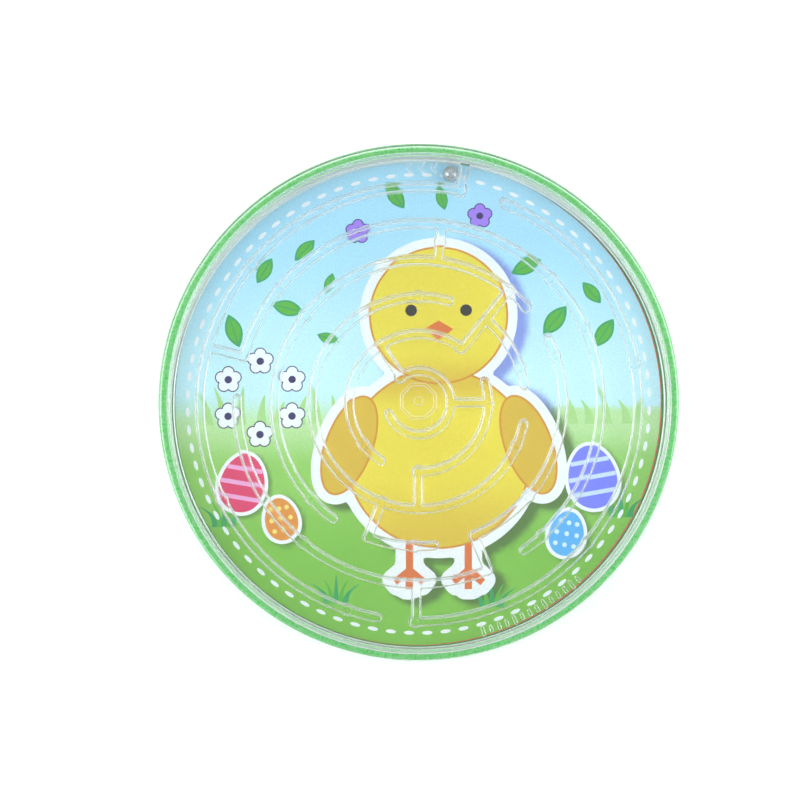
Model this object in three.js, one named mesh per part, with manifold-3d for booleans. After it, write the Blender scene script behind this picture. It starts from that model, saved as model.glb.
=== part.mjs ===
// A 60 mm ball-in-a-maze pocket puzzle: a round tray, a printed card that lies in it, a clear cover
// with the maze walls moulded on its underside, and a steel ball that runs in the lanes.
// Millimetres, +Z up. The origin is the centre of the tray's underside, and +Y is the picture's top.
import * as THREE from 'three';
import { mergeVertices } from 'three/addons/utils/BufferGeometryUtils.js';
import Module from 'manifold-3d';

const wasm = await Module();
wasm.setup();

// ---- Driving dimensions -------------------------------------------------------------------------
const OUTER_RADIUS = 30;
const OVERALL_HEIGHT = 6.8;

const FLOOR = 1.2;                 // the tray's floor thickness
const TRAY_TOP = 4.5;              // where the tray's wall ends
const TRAY_FOOT_RADIUS = 28.4;     // the flat that the puzzle rests on
const TRAY_OUTER_FOOT = 29.3;      // outside of the wall at the floor
const TRAY_OUTER_TOP = 29.78;      // outside of the wall at its top: the mould's draft
const TRAY_INNER_FOOT = 28.88;
const TRAY_INNER_TOP = 29.14;

const CARD_RADIUS = 28.3;
const CARD_THICKNESS = 0.35;
const CARD_SHIFT = [-0.15, 0.33];  // a loose card lies a little off centre
const REST_GAP = 0.02;             // between pieces that rest on each other

const SEAT_GAP = 0.05;             // between the tray's wall and the cover's flange
const PLATE_UNDER = TRAY_TOP + SEAT_GAP;
const PLATE_THICKNESS = 1.2;
const PLATE_TOP = PLATE_UNDER + PLATE_THICKNESS;
const PLUG_INNER = 28.5;           // the ring that drops into the tray, and the outer lane's wall
const PLUG_OUTER_TOP = 29.1;
const PLUG_OUTER_FOOT = 28.84;
const RIM_INNER = 28.7;            // the raised bead round the window

const WALL_THICKNESS = 0.8;
const WALL_FOOT = 1.75;            // the maze walls stop just above the card
const RING_PITCH = 4.336;
const INNER_RING_RADIUS = 3.7;     // the goal
const RING_COUNT = 6;
const POST_RADIUS = 0.575;
const START_POST_RADIUS = 0.65;

const MARK_HEIGHT = 0.18;          // how far the moulded marks stand out of the plate
const BALL_RADIUS = 1;
const BALL_GAP = 0.03;

const LATHE_STEPS = 96;
const ARC_STEP = 5;                // degrees for each straight of a ring wall
const ROOT = 0.3;                  // how far walls and marks are rooted in the plate

// Rings are counted from the rim inwards: ring 1 is the widest, ring 6 is the goal.
const ringRadius = (ring) => INNER_RING_RADIUS + (RING_COUNT - ring) * RING_PITCH;

// Each ring's walls, in degrees anticlockwise from +X. What lies between them is a gate.
const RING_WALLS = [
  { ring: 1, from: 79.5, to: 260 },
  { ring: 1, from: 269, to: 428 },
  { ring: 2, from: 177.5, to: 293 },
  { ring: 2, from: 304, to: 525 },
  { ring: 3, from: 41, to: 235 },
  { ring: 3, from: 248, to: 277.5 },
  { ring: 3, from: 291, to: 387.7 },
  { ring: 4, from: 7.3, to: 51 },
  { ring: 4, from: 71.5, to: 350 },
  { ring: 5, from: 52, to: 240 },
  { ring: 5, from: 269.5, to: 380.5 },
  { ring: 6, from: 195, to: 486 },
];

// Straight walls that close a lane: from ring `outer` (0 is the rim) to ring `inner`.
const RADIAL_WALLS = [
  { angle: 79, outer: 0, inner: 1 },
  { angle: 165, outer: 1, inner: 2 },
  { angle: 269.3, outer: 1, inner: 2 },
  { angle: 82.4, outer: 2, inner: 3 },
  { angle: 292.3, outer: 2, inner: 3 },
  { angle: 249.5, outer: 3, inner: 4 },
  { angle: 51.3, outer: 3, inner: 5 },
  { angle: 269.5, outer: 4, inner: 5 },
  { angle: 123.8, outer: 5, inner: 6 },
  { angle: 0, outer: 5, inner: 6 },
];
const START_ANGLE = RADIAL_WALLS[0].angle;

// Round posts on the ring walls, where the mould's ejector pins push.
const RING_POSTS = [
  { ring: 1, angles: [10, 64.5, 140, 206.5, 251, 269, 320] },
  { ring: 2, angles: [24.5, 43.5, 140.5, 230.5, 312.5] },
  { ring: 3, angles: [19.2, 42, 51, 142, 222, 268.3, 319] },
  { ring: 4, angles: [19.3, 90, 249.5, 336] },
  { ring: 5, angles: [53.5, 217, 269.5, 357.5] },
  { ring: 6, angles: [126] },
];
const LANE_POST = { radius: 18.9, angle: 82.4 };

// ---- Helpers ------------------------------------------------------------------------------------
const radians = THREE.MathUtils.degToRad;

function polar(radius, degrees) {
  return new THREE.Vector2(radius * Math.cos(radians(degrees)), radius * Math.sin(radians(degrees)));
}

// Points of an arc, both ends included, with no straight longer than `step` degrees.
function arcPoints(centre, radius, from, to, step) {
  const count = Math.max(1, Math.ceil(Math.abs(to - from) / step));
  const points = [];
  for (let i = 0; i <= count; i += 1) {
    points.push(polar(radius, from + ((to - from) * i) / count).add(centre));
  }
  return points;
}

// Leaves positions only, with shared corners merged and triangles of no area dropped.
function weld(geometry) {
  geometry.deleteAttribute('normal');
  geometry.deleteAttribute('uv');
  const merged = mergeVertices(geometry);
  const kept = [];
  const index = merged.index.array;
  for (let i = 0; i < index.length; i += 3) {
    const [a, b, c] = [index[i], index[i + 1], index[i + 2]];
    if (a !== b && b !== c && c !== a) kept.push(a, b, c);
  }
  merged.setIndex(kept);
  return merged;
}

function toSolid(geometry) {
  const welded = weld(geometry);
  return new wasm.Manifold(new wasm.Mesh({
    numProp: 3,
    vertProperties: new Float32Array(welded.attributes.position.array),
    triVerts: new Uint32Array(welded.index.array),
  }));
}

function toGeometry(solid) {
  const mesh = solid.getMesh();
  const geometry = new THREE.BufferGeometry();
  geometry.setAttribute('position', new THREE.BufferAttribute(mesh.vertProperties, 3));
  geometry.setIndex(new THREE.BufferAttribute(mesh.triVerts, 1));
  geometry.computeVertexNormals();
  return geometry;
}

// A profile of [radius, height] points turned about the Z axis.
function turned(profile) {
  const points = profile.map(([radius, height]) => new THREE.Vector2(radius, height));
  return new THREE.LatheGeometry(points, LATHE_STEPS).rotateX(Math.PI / 2);
}

function extruded(shape, low, high) {
  const geometry = new THREE.ExtrudeGeometry(shape, { depth: high - low, bevelEnabled: false });
  return geometry.translate(0, 0, low);
}

function upright(radius, centre, low, high, sides) {
  const geometry = new THREE.CylinderGeometry(radius, radius, high - low, sides).rotateX(Math.PI / 2);
  return geometry.translate(centre.x, centre.y, (low + high) / 2);
}

function named(name, geometry, look) {
  const mesh = new THREE.Mesh(geometry, new THREE.MeshStandardMaterial(look));
  mesh.name = name;
  return mesh;
}

// ---- The tray -----------------------------------------------------------------------------------
function makeTray() {
  const edge = FLOOR / 3;
  const profile = [
    [0, 0],
    [TRAY_FOOT_RADIUS, 0],
    [TRAY_FOOT_RADIUS + edge, edge / 4],
    [TRAY_OUTER_FOOT - edge / 2, edge],
    [TRAY_OUTER_FOOT, FLOOR],
    [TRAY_OUTER_TOP, TRAY_TOP],
    [TRAY_INNER_TOP, TRAY_TOP],
    [TRAY_INNER_FOOT, FLOOR],
    [0, FLOOR],
  ];
  return named('base_tray', weld(turned(profile)), { color: '#35c93a', roughness: 0.35, metalness: 0 });
}

// ---- The card -----------------------------------------------------------------------------------
function makeCard() {
  const profile = [
    [0, 0],
    [CARD_RADIUS, 0],
    [CARD_RADIUS, CARD_THICKNESS],
    [0, CARD_THICKNESS],
  ];
  const card = named('picture_card', weld(turned(profile)), { color: '#b4e2f4', roughness: 0.6, metalness: 0 });
  card.position.set(CARD_SHIFT[0], CARD_SHIFT[1], FLOOR + REST_GAP);
  return card;
}

// ---- The cover ----------------------------------------------------------------------------------
// Window plate, raised rim and plug ring, as one turned section.
function coverSection() {
  const round = 0.35;
  const rimRise = OVERALL_HEIGHT - PLATE_TOP;
  return turned([
    [0, PLATE_UNDER],
    [PLUG_INNER, PLATE_UNDER],
    [PLUG_INNER, WALL_FOOT],
    [PLUG_OUTER_FOOT, WALL_FOOT],
    [PLUG_OUTER_TOP, PLATE_UNDER],
    [OUTER_RADIUS - round / 2, PLATE_UNDER],
    [OUTER_RADIUS, PLATE_UNDER + round / 2],
    [OUTER_RADIUS, OVERALL_HEIGHT - round],
    [OUTER_RADIUS - round / 3, OVERALL_HEIGHT - round / 3],
    [OUTER_RADIUS - round, OVERALL_HEIGHT],
    [RIM_INNER + round, OVERALL_HEIGHT],
    [RIM_INNER, PLATE_TOP + rimRise / 2],
    [RIM_INNER - round / 2, PLATE_TOP],
    [0, PLATE_TOP],
  ]);
}

// A ring wall with round ends, standing between two angles.
function ringWall({ ring, from, to }) {
  const radius = ringRadius(ring);
  const half = WALL_THICKNESS / 2;
  const inset = THREE.MathUtils.radToDeg(half / radius);
  const first = from + inset;
  const last = to - inset;
  const middle = new THREE.Vector2();
  const roundEnd = (at, turn) => arcPoints(polar(radius, at), half, turn, turn + 180, 45).slice(1, -1);
  const outline = [
    ...arcPoints(middle, radius + half, first, last, ARC_STEP),
    ...roundEnd(last, last),
    ...arcPoints(middle, radius - half, last, first, ARC_STEP),
    ...roundEnd(first, first + 180),
  ];
  return extruded(new THREE.Shape(outline), WALL_FOOT, PLATE_UNDER + ROOT);
}

// A straight wall along a radius, rooted in the walls at both of its ends.
function radialWall({ angle, outer, inner }) {
  const far = outer === 0 ? PLUG_INNER + ROOT : ringRadius(outer);
  const near = ringRadius(inner);
  const height = PLATE_UNDER + ROOT - WALL_FOOT;
  const geometry = new THREE.BoxGeometry(far - near, WALL_THICKNESS, height);
  geometry.translate((far + near) / 2, 0, WALL_FOOT + height / 2);
  return geometry.rotateZ(radians(angle));
}

function wallPosts() {
  const posts = RING_POSTS.flatMap(({ ring, angles }) => (
    angles.map((angle) => upright(POST_RADIUS, polar(ringRadius(ring), angle), WALL_FOOT, PLATE_UNDER + ROOT, 12))
  ));
  const startPost = polar(ringRadius(1), START_ANGLE);
  posts.push(upright(START_POST_RADIUS, startPost, WALL_FOOT, PLATE_UNDER + ROOT, 12));
  const lanePost = polar(LANE_POST.radius, LANE_POST.angle);
  posts.push(upright(POST_RADIUS, lanePost, WALL_FOOT, PLATE_UNDER + ROOT, 12));
  return posts;
}

// Three chevrons on the window beside the start wall, pointing the way the ball sets off.
function startChevrons() {
  const [reach, arm, line] = [0.38, 0.75, 0.36];
  const outline = [[-reach, arm], [line - reach, arm], [reach, 0], [line - reach, -arm], [-reach, -arm],
    [reach - line, 0]].map(([x, y]) => new THREE.Vector2(x, y)).reverse();
  return [86.2, 89.2, 92.2].map((angle) => {
    const mark = extruded(new THREE.Shape(outline), PLATE_TOP - ROOT, PLATE_TOP + MARK_HEIGHT);
    return mark.rotateZ(Math.PI / 2).translate(27.4, 0, 0).rotateZ(radians(angle));
  });
}

// An octagon outline with a dot in it, over the goal.
function goalMark() {
  const [outer, line, dot] = [2.25, 0.34, 0.5];
  const octagon = (radius) => arcPoints(new THREE.Vector2(), radius, 22.5, 337.5, 45);
  const shape = new THREE.Shape(octagon(outer));
  shape.holes.push(new THREE.Path(octagon(outer - line)));
  return [
    extruded(shape, PLATE_TOP - ROOT, PLATE_TOP + MARK_HEIGHT),
    upright(dot, new THREE.Vector2(), PLATE_TOP - ROOT, PLATE_TOP + MARK_HEIGHT, 12),
  ];
}

// A scale of small bars under the plate, along the outer lane.
function laneScale() {
  const [bars, first, pitch, middle, width] = [14, 285.6, 2, 27.6, 0.34];
  return Array.from({ length: bars }, (_, i) => {
    const length = i % 4 === 0 ? 1.3 : 0.9;
    const bar = new THREE.BoxGeometry(length, width, MARK_HEIGHT + ROOT);
    bar.translate(middle, 0, PLATE_UNDER + (ROOT - MARK_HEIGHT) / 2);
    return bar.rotateZ(radians(first + i * pitch));
  });
}

function makeCover() {
  const pieces = [
    ...RING_WALLS.map(ringWall),
    ...RADIAL_WALLS.map(radialWall),
    ...wallPosts(),
    ...startChevrons(),
    ...goalMark(),
    ...laneScale(),
  ];
  const solid = pieces.reduce((whole, piece) => whole.add(toSolid(piece)), toSolid(coverSection()));
  const look = { color: '#f2f8f8', roughness: 0.05, metalness: 0, transparent: true, opacity: 0.25 };
  return named('maze_cover', toGeometry(solid), look);
}

// ---- The ball -----------------------------------------------------------------------------------
// It waits beside the start wall, on the card, in the middle of the outer lane's clear width.
function makeBall() {
  const lane = (ringRadius(1) + START_POST_RADIUS + PLUG_INNER) / 2;
  const clear = 0.1;
  const beside = THREE.MathUtils.radToDeg(Math.asin((WALL_THICKNESS / 2 + BALL_RADIUS + clear) / lane));
  const place = polar(lane, START_ANGLE + beside);
  const geometry = weld(new THREE.SphereGeometry(BALL_RADIUS, 20, 12).rotateX(Math.PI / 2));
  const ball = named('steel_ball', geometry, { color: '#c8ccd0', roughness: 0.12, metalness: 1 });
  ball.position.set(place.x, place.y, FLOOR + REST_GAP + CARD_THICKNESS + BALL_GAP + BALL_RADIUS);
  return ball;
}

const puzzle = new THREE.Group();
puzzle.add(makeTray(), makeCard(), makeCover(), makeBall());

export default puzzle;
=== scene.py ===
"""A 60 mm ball-in-a-maze pocket puzzle: green tray, printed card, clear maze cover and steel ball.

Shapes are worked out in millimetres and turned into metres when a mesh is made.
The heights and radii of each piece come from the CAD frame.
"""

import math

import bpy
import numpy as np
from mathutils import Matrix, Vector
from mathutils.geometry import delaunay_2d_cdt


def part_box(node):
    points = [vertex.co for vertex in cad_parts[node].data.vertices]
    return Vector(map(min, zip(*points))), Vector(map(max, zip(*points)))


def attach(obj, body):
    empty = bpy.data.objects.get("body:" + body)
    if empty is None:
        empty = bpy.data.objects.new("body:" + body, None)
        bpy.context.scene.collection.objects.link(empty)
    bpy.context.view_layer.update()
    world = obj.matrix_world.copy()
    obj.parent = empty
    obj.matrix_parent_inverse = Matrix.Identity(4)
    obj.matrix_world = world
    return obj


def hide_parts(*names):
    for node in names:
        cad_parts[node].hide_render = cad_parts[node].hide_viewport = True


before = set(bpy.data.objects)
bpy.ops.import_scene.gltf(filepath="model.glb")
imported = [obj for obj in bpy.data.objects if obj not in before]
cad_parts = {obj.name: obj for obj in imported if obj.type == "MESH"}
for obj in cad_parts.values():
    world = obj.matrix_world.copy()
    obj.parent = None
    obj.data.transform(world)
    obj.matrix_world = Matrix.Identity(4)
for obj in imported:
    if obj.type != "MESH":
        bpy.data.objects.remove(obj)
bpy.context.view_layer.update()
MM = 0.001


# ---- Sizes taken from the frame ------------------------------------------------------------------
def span(node):
    """A node's lowest and highest corner in millimetres."""
    low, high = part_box(node)
    return np.array(low) / MM, np.array(high) / MM


cover_low, cover_high = span("maze_cover")
tray_high = span("base_tray")[1]
card_low, card_high = span("picture_card")
ball_low, ball_high = span("steel_ball")

OUTER = cover_high[0]
RIM_TOP = cover_high[2]
WALL_FOOT = cover_low[2]
TRAY_TOP = tray_high[2]
TRAY_OUTER_TOP = tray_high[0]
CARD_UNDER, CARD_TOP = card_low[2], card_high[2]
CARD_RADIUS = (card_high[0] - card_low[0]) / 2
CARD_CENTRE = (card_low[:2] + card_high[:2]) / 2
BALL_RADIUS = (ball_high[2] - ball_low[2]) / 2
BALL_CENTRE = (ball_low + ball_high) / 2

# The rest of the mouldings' sections.
PLATE_UNDER = TRAY_TOP + 0.05
PLATE_TOP = PLATE_UNDER + 1.2
PLUG_INNER = 28.5
PLUG_FOOT = 28.84
PLUG_ROOT = 29.1
FLOOR = CARD_UNDER - 0.02
TRAY_INNER_FOOT, TRAY_INNER_TOP = 28.88, 29.14
TRAY_OUTER_FOOT = 29.3
WALL_HALF = 0.4
RING_PITCH = 4.336
GOAL_RADIUS = 3.7
RINGS = 6

# Each ring's walls in degrees anticlockwise from +X; ring 1 is the widest and ring 6 the goal.
RING_WALLS = {
    1: [(79.5, 260), (269, 428)],
    2: [(177.5, 293), (304, 525)],
    3: [(41, 235), (248, 277.5), (291, 387.7)],
    4: [(7.3, 51), (71.5, 350)],
    5: [(52, 240), (269.5, 380.5)],
    6: [(195, 486)],
}
# Straight walls: angle, the ring they start from (0 is the rim) and the ring they reach.
RADIAL_WALLS = [
    (79, 0, 1), (165, 1, 2), (269.3, 1, 2), (82.4, 2, 3), (292.3, 2, 3),
    (249.5, 3, 4), (51.3, 3, 5), (269.5, 4, 5), (123.8, 5, 6), (0, 5, 6),
]
# Round posts on the ring walls, where the mould's ejector pins push.
RING_POSTS = {
    1: [10, 64.5, 140, 206.5, 251, 269, 320],
    2: [24.5, 43.5, 140.5, 230.5, 312.5],
    3: [19.2, 42, 51, 142, 222, 268.3, 319],
    4: [19.3, 90, 249.5, 336],
    5: [53.5, 217, 269.5, 357.5],
    6: [126],
}
POST_RADIUS = 0.575
START_POST = (25.38, 79, 0.65)
LANE_POST = (18.9, 82.4, POST_RADIUS)


def ring_radius(ring):
    return PLUG_INNER if ring == 0 else GOAL_RADIUS + (RINGS - ring) * RING_PITCH


# Every post: its distance from the middle, its angle and its own radius.
POSTS = [(ring_radius(ring), angle, POST_RADIUS) for ring in RING_POSTS for angle in RING_POSTS[ring]]
POSTS += [START_POST, LANE_POST]


# ---- Colour --------------------------------------------------------------------------------------
def linear(hex_colour):
    """An sRGB hex colour as the linear red, green and blue that shaders take."""
    channels = np.array([int(hex_colour[i : i + 2], 16) / 255 for i in (1, 3, 5)])
    return np.where(channels <= 0.04045, channels / 12.92, ((channels + 0.055) / 1.055) ** 2.4)


# ---- Flat shapes ---------------------------------------------------------------------------------
def polar(radius, degrees):
    angle = math.radians(degrees)
    return np.array([radius * math.cos(angle), radius * math.sin(angle)])


def segment_distance(x, y, start, end):
    """Distance from each point to a straight line between two points."""
    run = end - start
    along = ((x - start[0]) * run[0] + (y - start[1]) * run[1]) / (run @ run)
    along = np.clip(along, 0, 1)
    return np.hypot(x - start[0] - along * run[0], y - start[1] - along * run[1])


def blended(a, b, round_):
    """The nearer of two distances, with a small fillet where the two shapes meet."""
    h = np.clip(0.5 + 0.5 * (b - a) / round_, 0, 1)
    return b + (a - b) * h - round_ * h * (1 - h)


def arc_distance(x, y, radius, start, end):
    middle = math.radians((start + end) / 2)
    reach = math.radians(end - start) / 2 - WALL_HALF / radius
    turn = np.arctan2(y, x) - middle
    turn = (turn + math.pi) % (2 * math.pi) - math.pi
    angle = middle + np.clip(turn, -reach, reach)
    return np.hypot(x - radius * np.cos(angle), y - radius * np.sin(angle))


def lane_field(x, y):
    """How far each point of the lanes is from the nearest wall; negative inside the walls."""
    walls = np.full(np.shape(x), 99.0)
    for ring, spans in RING_WALLS.items():
        for start, end in spans:
            walls = np.minimum(walls, arc_distance(x, y, ring_radius(ring), start, end) - WALL_HALF)
    for angle, outer, inner in RADIAL_WALLS:
        far = polar(ring_radius(outer), angle)
        near = polar(ring_radius(inner), angle)
        walls = blended(walls, segment_distance(x, y, far, near) - WALL_HALF, 0.25)
    for radius, angle, size in POSTS:
        centre = polar(radius, angle)
        walls = blended(walls, np.hypot(x - centre[0], y - centre[1]) - size, 0.12)
    return blended(walls, PLUG_INNER - np.hypot(x, y), 0.3)


def slope_of(field, points):
    step = 0.005
    x, y = points.T
    across = field(x + step, y) - field(x - step, y)
    up = field(x, y + step) - field(x, y - step)
    return np.stack([across, up], axis=1) / (2 * step)


def evened(loop, spacing):
    """A closed loop with its points spaced evenly."""
    closed = np.vstack([loop, loop[:1]])
    along = np.concatenate([[0], np.cumsum(np.linalg.norm(np.diff(closed, axis=0), axis=1))])
    at = np.linspace(0, along[-1], max(8, round(along[-1] / spacing)), endpoint=False)
    return np.stack([np.interp(at, along, closed[:, k]) for k in range(2)], axis=1)


def traced(field, low, high, cell, spacing):
    """The loops where a field is zero, with the positive side on their left, and their normals."""
    xs = np.arange(low[0], high[0] + cell, cell)
    ys = np.arange(low[1], high[1] + cell, cell)
    value = field(*np.meshgrid(xs, ys, indexing="ij"))
    inside = value > 0
    corners = [inside[:-1, :-1], inside[1:, :-1], inside[1:, 1:], inside[:-1, 1:]]
    crossed = np.argwhere(np.logical_or.reduce(corners) & ~np.logical_and.reduce(corners))
    onward = {}
    for i, j in crossed.tolist():
        around = [(i, j), (i + 1, j), (i + 1, j + 1), (i, j + 1)]
        edges = [(i, j, 0), (i + 1, j, 1), (i, j + 1, 0), (i, j, 1)]
        state = [inside[c] for c in around]
        for k in range(4):
            if state[k] and not state[(k + 1) % 4]:
                back = k
                while True:
                    back = (back - 1) % 4
                    if not state[back] and state[(back + 1) % 4]:
                        break
                onward[edges[k]] = edges[back]
    loops = []
    while onward:
        first, here = onward.popitem()
        chain = [first]
        while here != first:
            chain.append(here)
            here = onward.pop(here)
        points = []
        for i, j, upright in chain:
            other = (i, j + 1) if upright else (i + 1, j)
            a, b = value[i, j], value[other]
            t = a / (a - b)
            points.append([xs[i] + (0 if upright else t * cell), ys[j] + (t * cell if upright else 0)])
        loop = evened(np.array(points), spacing)
        for _ in range(3):
            slope = slope_of(field, loop)
            steep = np.maximum((slope**2).sum(1), 0.2)
            loop = loop - slope * (field(*loop.T) / steep)[:, None]
        slope = slope_of(field, loop)
        loops.append((loop, slope / np.linalg.norm(slope, axis=1)[:, None]))
    return loops


def ring_outline(steps):
    """A loop about the Z axis whose points are all on the axis, so an offset is a radius."""
    angle = np.linspace(0, 2 * math.pi, steps, endpoint=False)
    return np.zeros((steps, 2)), np.stack([np.cos(angle), np.sin(angle)], axis=1)


def bend(offset, height, radius, start, end, steps=4, hollow=False):
    """Points and normals of a round in a section: an arc about (offset, height)."""
    made = []
    for k in range(steps + 1):
        a = math.radians(start + (end - start) * k / steps)
        side = -1 if hollow else 1
        made.append((
            offset + radius * math.cos(a), height + radius * math.sin(a),
            side * math.cos(a), side * math.sin(a),
        ))
    return made


# ---- Shells --------------------------------------------------------------------------------------
class Shell:
    """Gathers the points and faces of one closed piece, with the true normal of every face corner."""

    def __init__(self):
        self.points, self.known, self.faces, self.normals = [], {}, [], []
        self.finish, self.finishes = 0, []

    def point(self, place):
        key = tuple(round(float(c), 5) for c in place)
        if key not in self.known:
            self.known[key] = len(self.points)
            self.points.append(key)
        return self.known[key]

    def face(self, corners, normals):
        """Adds one face, turned the way that its normals point."""
        kept = [i for i, c in enumerate(corners) if c not in corners[:i]]
        if len(kept) < 3:
            return
        a, b, c = (np.array(self.points[corners[k]]) for k in (kept[0], kept[1], kept[-1]))
        if np.cross(b - a, c - a) @ np.sum(normals, axis=0) < 0:
            kept.reverse()
        self.faces.append([corners[k] for k in kept])
        self.normals.extend(tuple(float(v) for v in normals[k]) for k in kept)
        self.finishes.append(self.finish)

    def skirt(self, outline, section):
        """Sweeps a section of (offset, height, normal out, normal up) round an outline."""
        loop, out = outline
        rows, turns = [], []
        for offset, height, n_out, n_up in section:
            rows.append([self.point((x, y, height)) for x, y in loop + out * offset])
            turns.append(np.column_stack([out * n_out, np.full(len(out), n_up)]))
        for k in range(len(section) - 1):
            for i in range(len(loop)):
                j = (i + 1) % len(loop)
                self.face(
                    [rows[k][i], rows[k][j], rows[k + 1][j], rows[k + 1][i]],
                    [turns[k][i], turns[k][j], turns[k + 1][j], turns[k + 1][i]],
                )

    def flat(self, loops, height, up):
        """Fills the level area between loops: inside an odd number of them."""
        points = [Vector(p) for loop in loops for p in loop]
        starts = np.cumsum([0] + [len(loop) for loop in loops])
        rings = [list(range(a, b)) for a, b in zip(starts, starts[1:])]
        rings = [r if signed_area(loop) > 0 else r[::-1] for r, loop in zip(rings, loops)]
        out, _, faces, from_points, _, from_faces = delaunay_2d_cdt(points, [], rings, 0, 1e-7)
        placed = {}
        for face, owners in zip(faces, from_faces):
            if len(owners) % 2 == 0:
                continue
            for k in face:
                if k not in placed:
                    place = points[from_points[k][0]] if from_points[k] else out[k]
                    placed[k] = self.point((place[0], place[1], height))
            self.face([placed[k] for k in face], [(0, 0, up)] * len(face))

    def piece(self, name, *materials):
        mesh = bpy.data.meshes.new(name)
        mesh.from_pydata([Vector(p) * MM for p in self.points], [], self.faces)
        mesh.polygons.foreach_set("use_smooth", [True] * len(mesh.polygons))
        mesh.update()
        mesh.normals_split_custom_set(self.normals)
        for each in materials:
            mesh.materials.append(each)
        mesh.polygons.foreach_set("material_index", self.finishes)
        made = bpy.data.objects.new(name, mesh)
        bpy.context.collection.objects.link(made)
        return made


def signed_area(loop):
    x, y = np.asarray(loop).T
    return float((x * np.roll(y, -1) - y * np.roll(x, -1)).sum() / 2)


def circle(radius, steps, centre=(0, 0)):
    points, out = ring_outline(steps)
    return out * radius + np.array(centre)


# ---- Materials -----------------------------------------------------------------------------------
def material(name):
    """A new material with its shader, its node tree and its output."""
    made = bpy.data.materials.new(name)
    made.use_nodes = True
    return made, made.node_tree, made.node_tree.nodes["Principled BSDF"]


def add(tree, kind, settings=None, links=None):
    """Adds a node: settings by property or socket name, links from other nodes' sockets."""
    node = tree.nodes.new(kind)
    for key, value in (settings or {}).items():
        if isinstance(key, str) and hasattr(node, key):
            setattr(node, key, value)
        else:
            node.inputs[key].default_value = value
    for key, source in (links or {}).items():
        tree.links.new(source, node.inputs[key])
    return node


def set_shader(shader, settings):
    for key, value in settings.items():
        shader.inputs[key].default_value = value


def light_through(tree, shader, tint):
    """Lets the lamps shine through a moulding on to what lies behind it, as through a real clear plate."""
    path = add(tree, "ShaderNodeLightPath")
    lamp = add(tree, "ShaderNodeBsdfTransparent", {"Color": tint})
    mix = add(tree, "ShaderNodeMixShader", None, {
        0: path.outputs["Is Shadow Ray"], 1: shader.outputs["BSDF"], 2: lamp.outputs["BSDF"],
    })
    tree.links.new(mix.outputs["Shader"], tree.nodes["Material Output"].inputs["Surface"])


def clear_polystyrene(name, roughness, clarity=1.0):
    """General-purpose polystyrene: water clear with bright edges and faint waves where it flowed.
    A clarity below 1 mixes in a matte white share, which is a painted highlight.
    """
    made, tree, shader = material(name)
    set_shader(shader, {
        "Base Color": (*linear("#FBFFFE"), 1), "Roughness": roughness,
        "IOR": 1.59, "Transmission Weight": clarity,
    })
    place = add(tree, "ShaderNodeTexCoord")
    flow = add(
        tree, "ShaderNodeTexNoise", {"Scale": 1 / (5 * MM), "Detail": 2.0},
        {"Vector": place.outputs["Object"]},
    )
    bump = add(
        tree, "ShaderNodeBump", {"Strength": 0.25, "Distance": 0.02 * MM}, {"Height": flow.outputs["Fac"]},
    )
    tree.links.new(bump.outputs["Normal"], shader.inputs["Normal"])
    light_through(tree, shader, (0.96, 0.97, 0.97, 1))
    return made


def welded_polystyrene_with_painted_light(name, clarity, low_mottle_tint, high_mottle_tint):
    """The clear moulding where it is welded to the tray: milky, partly as a weld leaves it and partly as
    painted light, which on the plug lifts the shade in the gap next to the tray. Mottled in two tints by a
    fine noise.
    """
    made, tree, shader = material(name)
    set_shader(shader, {"Roughness": 0.45, "IOR": 1.59, "Transmission Weight": clarity})
    place = add(tree, "ShaderNodeTexCoord")
    mottle = add(
        tree, "ShaderNodeTexNoise", {"Scale": 1 / (0.3 * MM), "Detail": 3.0},
        {"Vector": place.outputs["Object"]},
    )
    tint = add(tree, "ShaderNodeValToRGB", None, {"Fac": mottle.outputs["Fac"]})
    tint.color_ramp.elements[0].position, tint.color_ramp.elements[1].position = 0.3, 0.7
    tint.color_ramp.elements[0].color = (*linear(low_mottle_tint), 1)
    tint.color_ramp.elements[1].color = (*linear(high_mottle_tint), 1)
    tree.links.new(tint.outputs["Color"], shader.inputs["Base Color"])
    bump = add(
        tree, "ShaderNodeBump", {"Strength": 0.3, "Distance": 0.02 * MM}, {"Height": mottle.outputs["Fac"]},
    )
    tree.links.new(bump.outputs["Normal"], shader.inputs["Normal"])
    light_through(tree, shader, (0.8, 0.92, 0.8, 1))
    return made


def green_polystyrene():
    """High-impact polystyrene coloured in the mass: saturated green with a soft moulded gloss."""
    made, tree, shader = material("green moulded polystyrene")
    set_shader(shader, {
        "Roughness": 0.3, "IOR": 1.59, "Subsurface Weight": 0.15, "Subsurface Scale": 0.8 * MM,
    })
    shader.inputs["Subsurface Radius"].default_value = (0.4, 1.0, 0.3)
    place = add(tree, "ShaderNodeTexCoord")
    cloud = add(
        tree, "ShaderNodeTexNoise", {"Scale": 1 / (8 * MM), "Detail": 3.0},
        {"Vector": place.outputs["Object"]},
    )
    tint = add(tree, "ShaderNodeValToRGB", None, {"Fac": cloud.outputs["Fac"]})
    tint.color_ramp.elements[0].color = (*linear("#1C9E20"), 1)
    tint.color_ramp.elements[1].color = (*linear("#2FBE31"), 1)
    tree.links.new(tint.outputs["Color"], shader.inputs["Base Color"])
    grain = add(
        tree, "ShaderNodeTexNoise", {"Scale": 1 / (0.25 * MM), "Detail": 4.0},
        {"Vector": place.outputs["Object"]},
    )
    bump = add(
        tree, "ShaderNodeBump", {"Strength": 0.35, "Distance": 0.01 * MM}, {"Height": grain.outputs["Fac"]},
    )
    tree.links.new(bump.outputs["Normal"], shader.inputs["Normal"])
    return made


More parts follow.
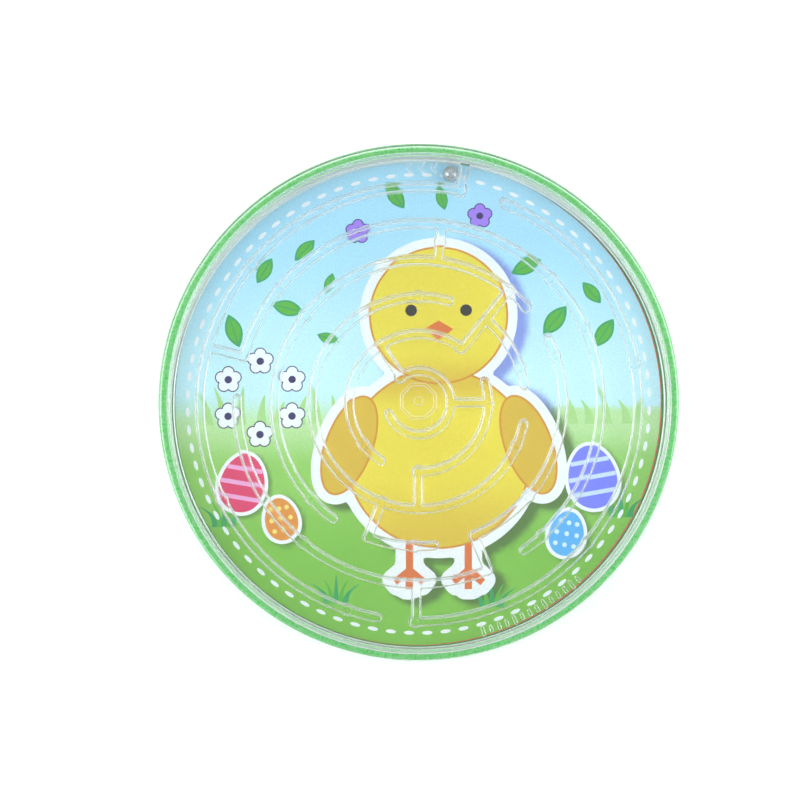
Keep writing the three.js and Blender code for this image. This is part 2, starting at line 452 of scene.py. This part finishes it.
def bearing_steel():
    """Hardened chrome steel, ground and lapped: a mirror with faint lapping marks."""
    made, tree, shader = material("lapped bearing steel")
    set_shader(shader, {"Base Color": (*linear("#C9CCD0"), 1), "Metallic": 1.0})
    place = add(tree, "ShaderNodeTexCoord")
    laps = add(
        tree, "ShaderNodeTexNoise", {"Scale": 1 / (0.2 * MM), "Detail": 5.0},
        {"Vector": place.outputs["Object"]},
    )
    rough = add(tree, "ShaderNodeMapRange", {"To Min": 0.06, "To Max": 0.16}, {"Value": laps.outputs["Fac"]})
    tree.links.new(rough.outputs["Result"], shader.inputs["Roughness"])
    return made


def printed_card_stock():
    """White coated card printed in four colours: ink from the picture, a satin varnish and paper tooth."""
    made, tree, shader = material("offset printed card")
    set_shader(shader, {"Roughness": 0.5, "IOR": 1.5, "Specular IOR Level": 0.3})
    ink = add(tree, "ShaderNodeAttribute", {"attribute_name": "ink"})
    place = add(tree, "ShaderNodeTexCoord")
    screen = add(
        tree, "ShaderNodeTexNoise", {"Scale": 1 / (0.22 * MM), "Detail": 2.0},
        {"Vector": place.outputs["Object"]},
    )
    grain = add(
        tree, "ShaderNodeMapRange", {"From Min": 0.3, "From Max": 0.7, "To Min": 0.93, "To Max": 1.05},
        {"Value": screen.outputs["Fac"]},
    )
    printed = add(tree, "ShaderNodeVectorMath", {"operation": "SCALE"}, {0: ink.outputs["Color"]})
    tree.links.new(grain.outputs["Result"], printed.inputs["Scale"])
    tree.links.new(printed.outputs["Vector"], shader.inputs["Base Color"])
    bump = add(
        tree, "ShaderNodeBump", {"Strength": 0.2, "Distance": 0.01 * MM}, {"Height": screen.outputs["Fac"]},
    )
    tree.links.new(bump.outputs["Normal"], shader.inputs["Normal"])
    return made


# ---- The clear cover -----------------------------------------------------------------------------
POLISHED, SATIN, PLUG, SEAT, DRAWN_WITH_PAINTED_HIGHLIGHT = range(5)
MARK_HEIGHT = 0.18
CHEVRON_ANGLES = (86.2, 89.2, 92.2)
MARK_RADIUS = 27.4


def top_marks(x, y):
    """Three chevrons beside the start wall, and an octagon with a dot over the goal."""
    line, dot, octagon = 0.16, 0.5, 2.08
    nearest = np.hypot(x, y) - dot + line
    corners = [polar(octagon, 22.5 + 45 * k) for k in range(8)]
    for start, end in zip(corners, corners[1:] + corners[:1]):
        nearest = np.minimum(nearest, segment_distance(x, y, start, end))
    for angle in CHEVRON_ANGLES:
        tip = polar(MARK_RADIUS, angle) + polar(0.2, angle + 90)
        for arm in (-0.55, 0.55):
            end = polar(MARK_RADIUS + arm, angle) - polar(0.2, angle + 90)
            nearest = np.minimum(nearest, segment_distance(x, y, tip, end))
    return line - nearest


def scale_marks(x, y):
    """A scale of small bars along the outer lane, longer at every fourth."""
    bars, first, pitch, middle, half_width = 14, 285.6, 2, 27.55, 0.17
    nearest = np.full(np.shape(x), 99.0)
    for k in range(bars):
        half = (0.6 if k % 4 == 0 else 0.43) - half_width
        angle = first + k * pitch
        ends = polar(middle - half, angle), polar(middle + half, angle)
        nearest = np.minimum(nearest, segment_distance(x, y, *ends))
    return half_width - nearest


def raise_marks(shell, field, patches, level, up):
    """Builds marks that stand out of a level face and returns the loops that they cut from it."""
    foot, crown, cuts = 0.05, 0.06, []
    facing = 90 * up
    section = [
        *bend(-foot, level + up * foot, foot, -facing, 0, 2, hollow=True),
        *bend(crown, level + up * (MARK_HEIGHT - crown), crown, 180, 180 - facing, 3),
    ]
    for low, high in patches:
        loops = traced(field, low, high, 0.04, 0.1)
        # The marks' sides: drag-polished, and partly matte white as a painted highlight.
        shell.finish = DRAWN_WITH_PAINTED_HIGHLIGHT
        for outline in loops:
            shell.skirt(outline, section)
        shell.finish = POLISHED
        shell.flat([loop + out * crown for loop, out in loops], level + up * MARK_HEIGHT, up)
        cuts.extend(loop - out * foot for loop, out in loops)
    return cuts


def sink_pin_marks(shell):
    """A shallow round dish in each post's foot, from the ejector pins; returns the loops they cut."""
    depth, shoulder, points = 0.1, 0.05, 20
    cuts = []
    for distance, angle, size in POSTS:
        centre, radius = polar(distance, angle), size - 0.16
        _, out = ring_outline(points)
        shell.skirt((np.zeros((points, 2)) + centre, out), [
            (radius, WALL_FOOT, 0, -1),
            *bend(radius - shoulder, WALL_FOOT + depth - shoulder, shoulder, 0, 90, 3, hollow=True),
        ])
        shell.flat([circle(radius - shoulder, points, centre)], WALL_FOOT + depth, -1)
        cuts.append(circle(radius, points, centre))
    return cuts


def make_cover():
    shell = Shell()
    lanes = traced(lane_field, (-29, -29), (29, 29), 0.12, 0.24)
    edge, root, draft = 0.12, 0.2, 0.04
    wall_side = bend(-edge, WALL_FOOT + edge, edge, -90, -1, 4)
    wall_root = bend(draft + root, PLATE_UNDER - root, root, 181, 90, 6, hollow=True)
    for outline in lanes:
        # The walls' sides: drag-polished, and partly matte white as a painted highlight.
        shell.finish = DRAWN_WITH_PAINTED_HIGHLIGHT
        shell.skirt(outline, [*wall_side, wall_root[0]])
        shell.finish = POLISHED
        shell.skirt(outline, wall_root)

    axis = ring_outline(256)
    slope, lip, foot, inner_lip = 8, 0.15, 0.15, 29.05
    sine, cosine = math.sin(math.radians(slope)), math.cos(math.radians(slope))
    drop = RIM_TOP - PLATE_TOP - (lip + foot) * (1 - sine)
    window = inner_lip - (lip + foot) * cosine - drop * sine / cosine
    plug_side = [
        *bend(PLUG_FOOT - 0.12, WALL_FOOT + 0.12, 0.12, -90, -5, 3),
        *bend(PLUG_ROOT + 0.1, PLATE_UNDER - 0.1, 0.1, 175, 90, 3, hollow=True),
    ]
    shell.finish = PLUG
    shell.skirt(axis, plug_side)
    shell.finish = SEAT
    shell.skirt(axis, [plug_side[-1], (OUTER - 0.15, PLATE_UNDER, 0, -1)])
    shell.finish = POLISHED
    shell.skirt(axis, [
        *bend(OUTER - 0.15, PLATE_UNDER + 0.15, 0.15, -90, 0, 4),
        *bend(OUTER - lip, RIM_TOP - lip, lip, 0, 90, 5),
        *bend(inner_lip, RIM_TOP - lip, lip, 90, 180 - slope, 5),
        *bend(window, PLATE_TOP + foot, foot, 360 - slope, 270, 5, hollow=True),
    ])
    start = polar(MARK_RADIUS, CHEVRON_ANGLES[1])
    top_patches = [(start - (2.4, 1.3), start + (2.4, 1.3)), ((-2.5, -2.5), (2.5, 2.5))]
    top_cuts = raise_marks(shell, top_marks, top_patches, PLATE_TOP, 1)
    scale_cuts = raise_marks(shell, scale_marks, [((6.5, -28.5), (20.5, -18.5))], PLATE_UNDER, -1)
    shell.flat([loop + out * (draft + root) for loop, out in lanes] + scale_cuts, PLATE_UNDER, -1)
    shell.flat([circle(window, 256), *top_cuts], PLATE_TOP, 1)
    pin_cuts = sink_pin_marks(shell)
    shell.finish = SATIN
    feet = [circle(PLUG_FOOT - 0.12, 256), *(loop - out * edge for loop, out in lanes), *pin_cuts]
    shell.flat(feet, WALL_FOOT, -1)
    # The mould is polished for the window, drag-polished down the walls' sides, which leaves fine
    # lines that scatter a little light, and only spark-eroded at the walls' feet. The drag-polished
    # sides are also partly matte white, a painted highlight for the light that their rounds catch.
    polished = clear_polystyrene("clear polystyrene, polished mould", 0.02)
    satin = clear_polystyrene("clear polystyrene, spark-eroded mould", 0.4)
    # The plug is nearly opaque white: partly a weld, partly painted light over the shaded gap between it and
    # the tray.
    plug = welded_polystyrene_with_painted_light("clear polystyrene, welded plug, milky as painted light", 0.15, "#F2FFF6", "#FFFFFF")
    seat = welded_polystyrene_with_painted_light("clear polystyrene, welded seat", 0.6, "#22E03C", "#C8F8CC")
    drawn_with_painted_highlight = clear_polystyrene("clear polystyrene, drag-polished mould", 0.22, 0.74)
    cover = shell.piece("clear_maze_cover", polished, satin, plug, seat, drawn_with_painted_highlight)
    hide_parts("maze_cover")
    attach(cover, "case")


# ---- The tray ------------------------------------------------------------------------------------
def make_tray():
    """A shallow dish: a foot ring round its base, a gate scar in the middle and four pin marks."""
    shell = Shell()
    axis = ring_outline(192)
    draft = 5
    foot_round, foot_inner, recess = 0.9, 26.6, 0.22
    foot_outer = TRAY_OUTER_FOOT - foot_round
    shell.skirt(axis, [
        (foot_outer, 0, 0, -1),
        *bend(foot_outer, foot_round, foot_round, -90, -draft, 8),
        *bend(TRAY_OUTER_TOP - 0.12, TRAY_TOP - 0.12, 0.12, -draft, 90, 4),
        *bend(TRAY_INNER_TOP + 0.12, TRAY_TOP - 0.12, 0.12, 90, 180 + draft, 4),
        *bend(TRAY_INNER_FOOT - 0.05, FLOOR + 0.1, 0.1, draft, -90, 3, hollow=True),
    ])
    shell.flat([circle(TRAY_INNER_FOOT - 0.05, 192)], FLOOR, 1)
    shell.skirt(axis, [
        (foot_outer, 0, 0, -1),
        *bend(foot_inner + 0.1, 0.1, 0.1, 270, 180, 3),
        *bend(foot_inner - 0.12, recess - 0.12, 0.12, 0, 90, 3, hollow=True),
    ])
    gate_outer, gate_inner, gate_depth = 1.6, 0.5, 0.18
    scar = ring_outline(32)
    shell.skirt(scar, [
        (gate_outer, recess, 0, -1),
        *bend(gate_outer - 0.15, recess + gate_depth - 0.12, 0.12, 0, 90, 3, hollow=True),
        *bend(gate_inner + 0.1, recess + gate_depth - 0.1, 0.1, 90, 180, 3, hollow=True),
        (gate_inner - 0.04, recess + 0.04, 1, 0),
        (gate_inner - 0.12, recess, 0, -1),
    ])
    shell.flat([circle(gate_inner - 0.12, 32)], recess, -1)
    pin_ring, pin_radius, pin_depth = 17.5, 1.5, 0.06
    pins = []
    for k in range(4):
        middle = polar(pin_ring, 45 + 90 * k)
        points, out = ring_outline(40)
        dish = pin_radius - pin_depth
        section = [(pin_radius, recess, 0, -1), (dish, recess + pin_depth, -0.7, -0.7)]
        shell.skirt((points + middle, out), section)
        shell.flat([circle(dish, 40, middle)], recess + pin_depth, -1)
        pins.append(circle(pin_radius, 40, middle))
    shell.flat([circle(foot_inner - 0.12, 192), circle(gate_outer, 32), *pins], recess, -1)
    tray = shell.piece("green_tray", green_polystyrene())
    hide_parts("base_tray")
    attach(tray, "case")


# ---- The ball ------------------------------------------------------------------------------------
def make_ball():
    """A turned sphere: rows of latitude with a small fan at each pole."""
    shell = Shell()
    around, rows = 64, 40
    axis = ring_outline(around)
    shell.skirt(axis, bend(0, 0, BALL_RADIUS, -90 + 180 / rows, 90 - 180 / rows, rows - 2))
    cap = math.radians(90 - 180 / rows)
    for pole in (-1, 1):
        tip = shell.point((0, 0, pole * BALL_RADIUS))
        ring = [shell.point((x, y, pole * BALL_RADIUS * math.sin(cap)))
                for x, y in axis[1] * BALL_RADIUS * math.cos(cap)]
        for i in range(around):
            shell.face([ring[i], ring[(i + 1) % around], tip], [(0, 0, pole)] * 3)
    shell.points = [tuple(np.array(p) + BALL_CENTRE) for p in shell.points]
    ball = shell.piece("polished_ball", bearing_steel())
    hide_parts("steel_ball")
    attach(ball, "ball")


# ---- The picture card ----------------------------------------------------------------------------
# The picture is drawn in millimetres about the card's centre, +Y to its top. Later shapes are printed
# over earlier ones. A shape's ink is a colour, or a function of place for shaded ones.
chance = np.random.default_rng(11)


def mixed(a, b, share):
    """Two inks mixed: share 0 is the first and 1 the second, for one place or many."""
    share = np.asarray(share)[..., None]
    return a * (1 - share) + b * share


def eased(value, low, high):
    t = np.clip((value - low) / (high - low), 0, 1)
    return t * t * (3 - 2 * t)


def curved(points):
    """A smooth line through a few points."""
    spacing = 0.4
    p = np.array(points, float)
    last = len(p) - 1
    made = []
    for i in range(last):
        a, b, c, d = (p[min(max(k, 0), last)] for k in (i - 1, i, i + 1, i + 2))
        steps = max(2, math.ceil(np.linalg.norm(c - b) / spacing))
        t = (np.arange(steps) / steps)[:, None]
        made.append(0.5 * (2 * b + (c - a) * t + (2 * a - 5 * b + 4 * c - d) * t**2
                           + (3 * b - 3 * c + d - a) * t**3))
    return np.vstack([*made, p[-1:]])


def turned_by(points, degrees, centre):
    a = math.radians(degrees)
    turn = np.array([[math.cos(a), math.sin(a)], [-math.sin(a), math.cos(a)]])
    return np.asarray(points) @ turn + np.array(centre)


def oval(centre, half_width, half_height, turn=0, narrow=0.0, steps=None):
    """An ellipse; `narrow` draws its top in, as on an egg."""
    steps = steps or max(10, round(2 * math.pi * max(half_width, half_height) / 0.35))
    a = np.linspace(0, 2 * math.pi, steps, endpoint=False)
    shape = np.stack([half_width * np.cos(a) * (1 - narrow * np.sin(a)), half_height * np.sin(a)], axis=1)
    return turned_by(shape, turn, centre)


def ribbon(points, width):
    """The outline of a stroke along a line."""
    p = np.asarray(points, float)
    run = np.diff(p, axis=0)
    run /= np.linalg.norm(run, axis=1)[:, None]
    before, after = np.vstack([run[:1], run]), np.vstack([run, run[-1:]])
    mitre = before + after
    mitre /= np.linalg.norm(mitre, axis=1)[:, None]
    reach = 1 / np.maximum((mitre * after).sum(1), 0.6)
    across = np.stack([-mitre[:, 1], mitre[:, 0]], axis=1) * reach[:, None] * width / 2
    return np.vstack([p + across, (p - across)[::-1]])


def edge_of(loop, width):
    """An even line round a closed loop, as short overlapping strokes."""
    closed = np.vstack([loop, loop[:2]])
    step = 12
    return [ribbon(closed[i : i + step + 2], width) for i in range(0, len(loop), step)]


def loop_distance(x, y, loops):
    """Distance to the nearest of some loops, negative inside any of them."""
    flat_x, flat_y = np.ravel(x), np.ravel(y)
    nearest = np.full(flat_x.shape, 99.0)
    for loop in loops:
        inside = np.zeros(flat_x.shape, bool)
        away = np.full(flat_x.shape, 99.0)
        for start, end in zip(loop, np.roll(loop, -1, axis=0)):
            away = np.minimum(away, segment_distance(flat_x, flat_y, start, end))
            crosses = (start[1] > flat_y) != (end[1] > flat_y)
            rise = end[1] - start[1]
            at = start[0] + (end[0] - start[0]) * (flat_y - start[1]) / (rise if rise else 1)
            inside ^= crosses & (flat_x < at)
        nearest = np.minimum(nearest, np.where(inside, -away, away))
    return nearest.reshape(np.shape(x))


class Picture:
    """The shapes to print, in the order that they are printed."""

    def __init__(self):
        self.loops, self.inks = [], []

    def add(self, loops, ink):
        for loop in loops if isinstance(loops, list) else [loops]:
            self.loops.append(loop if signed_area(loop) > 0 else loop[::-1])
            self.inks.append(ink)


SKY_TOP, SKY_LOW = linear("#AEE3FD"), linear("#CBF3FF")
GRASS_PALE, GRASS_MID, GRASS_DEEP = linear("#BFE6A4"), linear("#92CE5C"), linear("#7FC23E")
SHADE_ON_SKY, SHADE_ON_GRASS = linear("#7C8CE0"), linear("#4C6E2C")
PAPER, PURPLE, LILAC = linear("#F6FAFF"), linear("#2A1660"), linear("#A57DF2")
YELLOW, YELLOW_DEEP, YELLOW_LINE = linear("#EFDC3A"), linear("#DDB82E"), linear("#D8921A")
ORANGE, BLACK = linear("#E2742A"), linear("#1E1A12")
LEAF, LEAF_EDGE = linear("#55B52C"), linear("#27A35C")
MISPRINT_RED = linear("#E2574A")


HORIZON = -0.7


def ground_ink(x, y):
    """Sky down to grass: the horizon is soft on the left and sharper on the right."""
    sky = mixed(SKY_LOW, SKY_TOP, eased(y, 2, 20))
    grass = mixed(GRASS_DEEP, GRASS_MID, eased(y, -17, -9))
    grass = mixed(grass, GRASS_PALE, eased(y, -8, -2))
    soft = np.where(x < 0, 2.4, 0.25)
    return mixed(grass, sky, eased(y - HORIZON, -soft, soft))


def shaded(ink, loops, shift, depth, spread):
    """Wraps an ink with the soft shadow that a cut-out throws on it."""
    moved = [loop + np.array(shift) for loop in loops]

    def made(x, y):
        base = ink(x, y)
        cover = 1 - eased(loop_distance(x, y, moved), -0.2, spread)
        shade = mixed(SHADE_ON_GRASS, SHADE_ON_SKY, eased(y - HORIZON, -1.5, 1.5))
        return mixed(base, shade, cover * depth)

    return made


def scattered(count, gap, allowed):
    """Places taken at random where `allowed` says so, no two nearer than `gap`."""
    places = []
    for spot in chance.uniform(-26, 26, (4000, 2)):
        clear = all(math.dist(spot, other) > gap for other in places)
        if len(places) < count and clear and allowed(*spot):
            places.append(spot)
    return places


def draw_blade(picture, foot, height, lean, width, ink):
    line = curved([foot, foot + np.array([lean * 0.25, height * 0.55]), foot + np.array([lean, height])])
    taper = np.linspace(1, 0.08, len(line))[:, None] * np.array([width / 2, 0])
    picture.add(np.vstack([line + taper, (line - taper)[::-1]]), ink)


def draw_grass(picture):
    """Pale blades along the horizon, and a few deep green tufts low down."""
    pale = mixed(GRASS_PALE, GRASS_MID, 0.45)
    for x in np.arange(-26.5, 27, 2.1):
        foot = np.array([x + chance.uniform(-0.6, 0.6), -2.6])
        if math.hypot(*foot) < CARD_RADIUS - 2:
            draw_blade(picture, foot, chance.uniform(2.4, 4.6), chance.uniform(-1.2, 1.2), 1.3, pale)
    for x, y in ((-9.5, -23.5), (8.5, -24.0), (-22.5, -14.5), (23.5, -13.5)):
        for k in range(5):
            foot = np.array([x + (k - 2) * 0.5, y])
            ink = LEAF if k % 2 else LEAF_EDGE
            draw_blade(picture, foot, 3.4 - abs(k - 2) * 0.5, (k - 2) * 0.9, 0.8, ink)


def draw_leaf(picture, centre, length, turn):
    """A leaf between two equal arcs, with a darker edge and a midrib."""
    along = np.linspace(-1, 1, 13)
    bulge = 0.24 * length * (1 - along**2)
    upper = np.stack([along * length / 2, bulge], axis=1)
    lower = np.stack([along * length / 2, -bulge], axis=1)[::-1][1:-1]
    shape = np.vstack([upper, lower])
    picture.add(turned_by(shape, turn, centre), LEAF_EDGE)
    picture.add(turned_by(shape * 0.78, turn, centre), LEAF)
    midrib = np.stack([np.linspace(-0.4, 0.36, 6) * length, np.zeros(6)], axis=1)
    picture.add(turned_by(ribbon(midrib, 0.14), turn, centre), LEAF_EDGE)


def draw_flower(picture, centre, radius, petal_ink, edge_ink):
    """A plain five-petalled flower."""
    for grow, ink in ((1.2, edge_ink), (1.0, petal_ink)):
        for k in range(5):
            middle = np.array(centre) + polar(radius * 0.58, 90 + 72 * k)
            picture.add(oval(middle, radius * 0.42 * grow, radius * 0.42 * grow), ink)
    picture.add(oval(centre, radius * 0.3, radius * 0.3), edge_ink)


def draw_wreath(picture):
    """A ring of flowers on the left, in white and dark purple."""
    for k in range(6):
        draw_flower(picture, np.array([-18.4, 0.6]) + polar(4.3, 30 + 60 * k), 1.5, PAPER, PURPLE)


def draw_dashes(picture):
    """The row of white dashes round the card's edge."""
    count, radius, length, width = 80, 26.85, 1.22, 0.46
    for k in range(count):
        turn = 360 * (k + 0.5) / count
        picture.add(oval(polar(radius, turn), length / 2, width / 2, turn - 90), PAPER)


# Eggs: centre, half width, half height, turn, ground ink, pattern ink, and whether it is banded.
EGGS = [
    ((-20.4, -9.4), 2.6, 3.4, -10, linear("#E4386A"), linear("#F3A9DC"), True),
    ((-15.9, -13.6), 1.9, 2.5, 12, linear("#E8922E"), linear("#F8E27A"), False),
    ((20.2, -8.8), 2.8, 3.7, 10, linear("#7A82FF"), linear("#CDE3FF"), True),
    ((17.2, -15.4), 2.0, 2.6, -12, linear("#58B4F6"), linear("#D6F0FF"), False),
]
EGG_BORDER, EGG_NARROW = 0.42, 0.12


def draw_eggs(picture):
    """Eggs with a white border, banded or with rows of dots."""
    for centre, width, height, turn, ground, pattern, banded in EGGS:
        picture.add(oval(centre, width + EGG_BORDER, height + EGG_BORDER, turn, EGG_NARROW), PAPER)
        picture.add(oval(centre, width, height, turn, EGG_NARROW), ground)
        for level in (-0.5, 0.0, 0.5):
            reach = width * 0.98 * math.sqrt(1 - level**2) * (1 - EGG_NARROW * level)
            if banded:
                row = np.stack([np.linspace(-reach, reach, 9), np.full(9, level * height)], axis=1)
                picture.add(turned_by(ribbon(row, 0.5), turn, centre), pattern)
            else:
                for across in (-0.6, 0.0, 0.6):
                    spot = turned_by([(across * reach, level * height)], turn, centre)[0]
                    picture.add(oval(spot, 0.28, 0.28), pattern)


# A plain bird seen from the front, the same on both sides of its middle line: a round head on an
# oval body.
BIRD_MIDDLE = 2.4
HEAD_CENTRE, HEAD_RADIUS = (BIRD_MIDDLE, 10.2), 8.0
BODY_CENTRE, BODY_HALF_WIDTH, BODY_HALF_HEIGHT = (BIRD_MIDDLE, -6.6), 10.6, 10.4
WING_OUT, WING_HALF_WIDTH, WING_HALF_HEIGHT, WING_TURN = 10.4, 2.7, 6.0, 20
LEG_OUT, LEG_TOP, ANKLE, TOE = 3.4, -16.0, -19.6, 2.2
BIRD_BORDER = 1.2


def mirrored(loop):
    return loop * (-1, 1) + (2 * BIRD_MIDDLE, 0)


def both_sides(loops):
    return [*loops, *(mirrored(loop) for loop in loops)]


def bird_shapes():
    wing = oval((BIRD_MIDDLE - WING_OUT, -5.0), WING_HALF_WIDTH, WING_HALF_HEIGHT, -WING_TURN)
    foot = np.array([BIRD_MIDDLE - LEG_OUT, ANKLE])
    strokes = [[(foot[0], LEG_TOP), (foot[0], ANKLE)]]
    strokes += [[foot, foot + polar(TOE, -90 + spread)] for spread in (-50, 0, 50)]
    legs = [ribbon(np.linspace(*np.array(stroke), 5), 0.85) for stroke in strokes]
    return {
        "legs": both_sides(legs), "wings": both_sides([wing]),
        "body": [oval(BODY_CENTRE, BODY_HALF_WIDTH, BODY_HALF_HEIGHT)],
        "head": [oval(HEAD_CENTRE, HEAD_RADIUS, HEAD_RADIUS)],
    }


def feather_ink(x, y):
    """Yellow, deeper towards the lower edge of the head and of the body."""
    low_body = eased(-y, 8, 17)
    low_head = eased(-y, -6, -2.4) * (1 - eased(-y, -2.4, 1))
    return mixed(YELLOW, YELLOW_DEEP, np.maximum(low_body, low_head) * 0.8)


def draw_bird(picture, shapes, border):
    picture.add(border, PAPER)
    picture.add(shapes["legs"], ORANGE)
    for part, ink in (("body", feather_ink), ("wings", YELLOW_DEEP), ("head", feather_ink)):
        for loop in shapes[part]:
            picture.add(loop, ink)
            picture.add(edge_of(loop, 0.24), YELLOW_LINE)
    beak = np.array([(-1.7, 0), (0, 1.0), (1.7, 0), (0, -1.5)]) + (BIRD_MIDDLE, HEAD_CENTRE[1] - 1.6)
    picture.add(beak, ORANGE)
    eye = oval((BIRD_MIDDLE - 3.2, HEAD_CENTRE[1] + 0.6), 0.7, 0.7)
    picture.add(both_sides([eye]), BLACK)


def draw_picture():
    picture = Picture()
    shapes = bird_shapes()
    bird = [loop for part in shapes.values() for loop in part]

    def border_field(x, y):
        return BIRD_BORDER - loop_distance(x, y, bird)

    traced_loops = [loop for loop, _ in traced(border_field, (-14, -25), (19, 22), 0.3, 0.45)]
    border = [loop for loop in traced_loops if signed_area(loop) > 0]
    eggs = [oval(c, w + EGG_BORDER, h + EGG_BORDER, t, EGG_NARROW) for c, w, h, t, *_ in EGGS]
    ground = shaded(shaded(ground_ink, border, (1.0, -0.55), 0.9, 0.7), eggs, (0.35, -0.25), 0.7, 0.3)
    picture.add(oval((0, 0), CARD_RADIUS, CARD_RADIUS, steps=240), MISPRINT_RED)
    picture.add(oval((-0.13, 0.06), CARD_RADIUS, CARD_RADIUS, steps=240), ground)
    draw_grass(picture)

    def open_sky(x, y):
        return math.hypot(x, y) < 24.5 and y > 7.5 and math.dist((x, y), HEAD_CENTRE) > HEAD_RADIUS + 3.6

    for k, spot in enumerate(scattered(17, 4.6, open_sky)):
        if k % 6 == 5:
            draw_flower(picture, spot, 1.4, LILAC, PURPLE)
        else:
            draw_leaf(picture, spot, chance.uniform(2.6, 4.4), chance.uniform(0, 180))
    draw_dashes(picture)
    draw_bird(picture, shapes, border)
    draw_eggs(picture)
    draw_wreath(picture)
    return picture


def make_card():
    picture = draw_picture()
    pitch = 0.5
    reach = np.arange(-CARD_RADIUS, CARD_RADIUS, pitch)
    grid = np.stack(np.meshgrid(reach, reach, indexing="ij"), axis=-1).reshape(-1, 2)
    grid = grid + chance.uniform(-0.12, 0.12, grid.shape)
    grid = grid[np.hypot(*grid.T) < CARD_RADIUS - 0.3]
    points = [Vector(p) for loop in picture.loops for p in loop] + [Vector(p) for p in grid]
    starts = np.cumsum([0] + [len(loop) for loop in picture.loops])
    rings = [list(range(a, b)) for a, b in zip(starts, starts[1:])]
    places, _, faces, _, _, owners = delaunay_2d_cdt(points, [], rings, 0, 1e-5)
    shell = Shell()
    inks = []
    for face, over in zip(faces, owners):
        if 0 not in over:
            continue
        before = len(shell.faces)
        corners = [shell.point((*(np.array(places[k]) + CARD_CENTRE), CARD_TOP)) for k in face]
        shell.face(corners, [(0, 0, 1)] * len(face))
        if len(shell.faces) > before:
            inks.extend([max(over)] * len(shell.faces[-1]))
    sides = {}
    for face in shell.faces:
        for a, b in zip(face, face[1:] + face[:1]):
            if (b, a) in sides:
                del sides[(b, a)]
            else:
                sides[(a, b)] = True
    under = {}
    for a, b in sides:
        out = []
        for k in (a, b):
            x, y, _ = shell.points[k]
            if k not in under:
                under[k] = shell.point((x, y, CARD_UNDER))
            out.append(np.array([x - CARD_CENTRE[0], y - CARD_CENTRE[1], 0]) / CARD_RADIUS)
        shell.face([a, b, under[b], under[a]], [out[0], out[1], out[1], out[0]])
    next_of = dict(sides.keys())
    first = next(iter(next_of))
    chain = [first]
    while next_of[chain[-1]] != first:
        chain.append(next_of[chain[-1]])
    shell.face([under[k] for k in chain], [(0, 0, -1)] * len(chain))

    card = shell.piece("printed_card", printed_card_stock())
    mesh = card.data
    colours = np.tile([*PAPER, 1.0], (len(mesh.loops), 1))
    spots = np.array([shell.points[loop.vertex_index][:2] for loop in mesh.loops][: len(inks)]) - CARD_CENTRE
    inks = np.array(inks)
    for k in np.unique(inks):
        at = np.flatnonzero(inks == k)
        ink = picture.inks[k]
        colours[at, :3] = ink(*spots[at].T) if callable(ink) else ink
    attribute = mesh.color_attributes.new("ink", "FLOAT_COLOR", "CORNER")
    attribute.data.foreach_set("color", colours.ravel())
    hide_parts("picture_card")
    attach(card, "case")


# ---- Studio --------------------------------------------------------------------------------------
def make_floor():
    mesh = bpy.data.meshes.new("studio_floor")
    reach = 0.6
    under = -0.02 * MM
    corners = [(x, y, under) for x, y in ((-reach, -reach), (reach, -reach), (reach, reach), (-reach, reach))]
    mesh.from_pydata(corners, [], [(0, 1, 2, 3)])
    made, tree, shader = material("opal acrylic light table")
    set_shader(shader, {
        "Base Color": (*linear("#FFFFFF"), 1), "Roughness": 0.9,
        "Emission Color": (1, 1, 1, 1), "Emission Strength": 0.32,
    })
    mesh.materials.append(made)
    floor = bpy.data.objects.new("studio_floor", mesh)
    bpy.context.collection.objects.link(floor)


def soft_box(name, place, aim, size, power):
    light = bpy.data.lights.new(name, "AREA")
    light.shape = "RECTANGLE"
    light.size, light.size_y = size
    light.energy = power
    lamp = bpy.data.objects.new(name, light)
    bpy.context.collection.objects.link(lamp)
    lamp.location = place
    lamp.rotation_euler = (Vector(aim) - Vector(place)).to_track_quat("-Z", "Y").to_euler()


def make_studio():
    make_floor()
    world = bpy.data.worlds.new("studio")
    bpy.context.scene.world = world
    world.use_nodes = True
    tent = world.node_tree.nodes["Background"]
    tent.inputs["Color"].default_value = (0.9, 0.92, 1, 1)
    tent.inputs["Strength"].default_value = 0.7
    reach, height, box_size = 0.42, 0.24, (0.35, 0.5)
    for name, x, y, power in (
        ("left_soft_box", -reach, -0.02, 1.08), ("right_soft_box", reach, -0.02, 1.08),
        ("front_soft_box", 0, -reach, 0.18), ("back_soft_box", 0, reach, 0.36),
    ):
        soft_box(name, (x, y, height), (0, 0, 0), box_size, power)
    bpy.context.scene.view_settings.view_transform = "Standard"


def make_camera():
    """Looks down on the window from the side nearest the player, a little off the vertical."""
    distance, off_vertical, towards_right = 500, 7.5, 15
    frame_width = 92.15
    left_of_centre = 2.09
    tilt, turn = math.radians(off_vertical), math.radians(towards_right)
    way = Vector((math.sin(tilt) * math.sin(turn), -math.sin(tilt) * math.cos(turn), math.cos(tilt)))
    target = Vector((-left_of_centre, 0, RIM_TOP))
    forward = -way
    right = forward.cross(Vector((0, 1, 0))).normalized()
    up = right.cross(forward)
    camera_data = bpy.data.cameras.new("camera")
    camera_data.sensor_width = 36
    camera_data.lens = 36 * distance / frame_width
    camera_data.clip_start = 0.01
    camera = bpy.data.objects.new("camera", camera_data)
    bpy.context.collection.objects.link(camera)
    turned = Matrix((right, up, -forward)).transposed().to_4x4()
    camera.matrix_world = Matrix.Translation((target + way * distance) * MM) @ turned
    bpy.context.scene.camera = camera


make_camera()
make_studio()
make_tray()
make_card()
make_cover()
make_ball()
